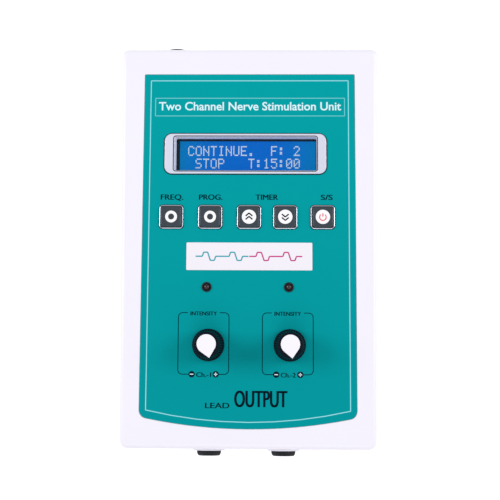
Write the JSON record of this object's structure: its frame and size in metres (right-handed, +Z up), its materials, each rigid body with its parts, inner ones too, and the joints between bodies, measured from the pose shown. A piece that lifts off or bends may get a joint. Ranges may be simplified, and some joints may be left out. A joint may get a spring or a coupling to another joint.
{
  "type": "tens unit",
  "caption": "Desk-top nerve stimulator: wedge-shaped white console with a backlit display, square keys, two intensity knobs, lead sockets in front and a supply inlet behind.",
  "frame": {"origin": "on the table, under the middle of the unit's bounding box", "axes": "+Z up; -Y towards the user and the lead sockets; +Y towards the supply inlet; +X right"},
  "size_m": [0.1234, 0.1944, 0.0544],
  "materials": {
    "case_white": "smooth satin-gloss moulded ABS",
    "overlay_teal": "satin printed polycarbonate film",
    "strip_white": "glossy printed plate",
    "bezel_silver": "silver-grey moulded trim, satin",
    "clear_acrylic": "clear polished",
    "frame_black": "black painted sheet steel",
    "display_blue": "backlit blue liquid crystal glass",
    "light_guide": "milky light guide",
    "board_green": "solder mask, satin",
    "pin_gold": "plated",
    "steel": "zinc plated",
    "key_silver": "bright plated",
    "key_black": "satin black cap",
    "moulding_black": "matte black moulding",
    "lamp_red": "dark red tinted clear lens",
    "pot_metal": "nickel plated can",
    "shaft_aluminium": "turned",
    "knob_black": "ribbed matte black",
    "pointer_white": "smooth white inlay",
    "tinned_brass": "tinned",
    "core_iron": "laminated, varnished",
    "winding_yellow": "yellow insulating tape",
    "chip_black": "moulded epoxy",
    "capacitor_blue": "shrink sleeve",
    "crystal_can": "nickel plated can",
    "resistor_tan": "painted body",
    "ribbon_grey": "flexible PVC",
    "foot_rubber": "matte",
    "label_silver": "blank silver label"
  },
  "bodies": {
    "case": {"top_cover": "case_white", "base_shell": "case_white", "case_screws": "steel", "rubber_feet": "foot_rubber", "rating_label": "label_silver", "front_overlay": "overlay_teal", "name_strip": "strip_white", "lcd_bezel": "bezel_silver", "lcd_window": "clear_acrylic", "lcd_metal_frame": "frame_black", "lcd_glass": "display_blue", "lcd_backlight": "light_guide", "lcd_circuit_board": "board_green", "lcd_pin_header": "pin_gold", "board_screws": "steel", "key_frames": "key_silver", "key_switch_bodies": "moulding_black", "lamp_holders": "moulding_black", "lamp_leads": "tinned_brass", "potentiometer_nuts": "steel", "socket_ring_nuts": "moulding_black", "solder_terminals": "tinned_brass", "inlet_body": "moulding_black", "inlet_pin": "pin_gold", "inlet_nut": "moulding_black", "rocker_housing": "moulding_black", "rocker_pivot_pin": "steel", "main_circuit_board": "board_green", "transformer_cores": "core_iron", "transformer_windings": "winding_yellow", "microcontroller": "chip_black", "voltage_regulator": "chip_black", "electrolytic_capacitors": "capacitor_blue", "quartz_crystal": "crystal_can", "resistors": "resistor_tan", "lcd_ribbon_cable": "ribbon_grey", "ribbon_plug": "moulding_black", "potentiometer_1": "pot_metal", "channel_lamp_1": "lamp_red", "output_socket_1": "moulding_black", "potentiometer_2": "pot_metal", "channel_lamp_2": "lamp_red", "output_socket_2": "moulding_black"},
    "frequency_key": {"frequency_keycap": "key_black", "frequency_plunger": "moulding_black"},
    "program_key": {"program_keycap": "key_black", "program_plunger": "moulding_black"},
    "timer_up_key": {"timer_up_keycap": "key_black", "timer_up_plunger": "moulding_black"},
    "timer_down_key": {"timer_down_keycap": "key_black", "timer_down_plunger": "moulding_black"},
    "start_stop_key": {"start_stop_keycap": "key_black", "start_stop_plunger": "moulding_black"},
    "knob_1": {"knob_body_1": "knob_black", "knob_pointer_1": "pointer_white", "knob_shaft_1": "shaft_aluminium"},
    "knob_2": {"knob_body_2": "knob_black", "knob_pointer_2": "pointer_white", "knob_shaft_2": "shaft_aluminium"},
    "rocker": {"rocker_button": "key_black"}
  },
  "joints": [
    {"name": "frequency_press", "type": "slide", "parent": "case", "child": "frequency_key", "axis": [0, 0.0741, -0.9973], "range_m": [0, 0.0003], "stiffness_N_per_m": 6000},
    {"name": "program_press", "type": "slide", "parent": "case", "child": "program_key", "axis": [0, 0.0741, -0.9973], "range_m": [0, 0.0003], "stiffness_N_per_m": 6000},
    {"name": "timer_up_press", "type": "slide", "parent": "case", "child": "timer_up_key", "axis": [0, 0.0741, -0.9973], "range_m": [0, 0.0003], "stiffness_N_per_m": 6000},
    {"name": "timer_down_press", "type": "slide", "parent": "case", "child": "timer_down_key", "axis": [0, 0.0741, -0.9973], "range_m": [0, 0.0003], "stiffness_N_per_m": 6000},
    {"name": "start_stop_press", "type": "slide", "parent": "case", "child": "start_stop_key", "axis": [0, 0.0741, -0.9973], "range_m": [0, 0.0003], "stiffness_N_per_m": 6000},
    {"name": "intensity_1_turn", "type": "hinge", "parent": "case", "child": "knob_1", "pos_m": [-0.0183, -0.04709, 0.03951], "axis": [0, 0.0741, -0.9973], "range_deg": [0, 300]},
    {"name": "intensity_2_turn", "type": "hinge", "parent": "case", "child": "knob_2", "pos_m": [0.0191, -0.04709, 0.03951], "axis": [0, 0.0741, -0.9973], "range_deg": [0, 300]},
    {"name": "power_rocker_tilt", "type": "hinge", "parent": "case", "child": "rocker", "pos_m": [0.03, 0.09289, 0.0305], "axis": [-1, 0, 0], "range_deg": [0, 20]}
  ]
}
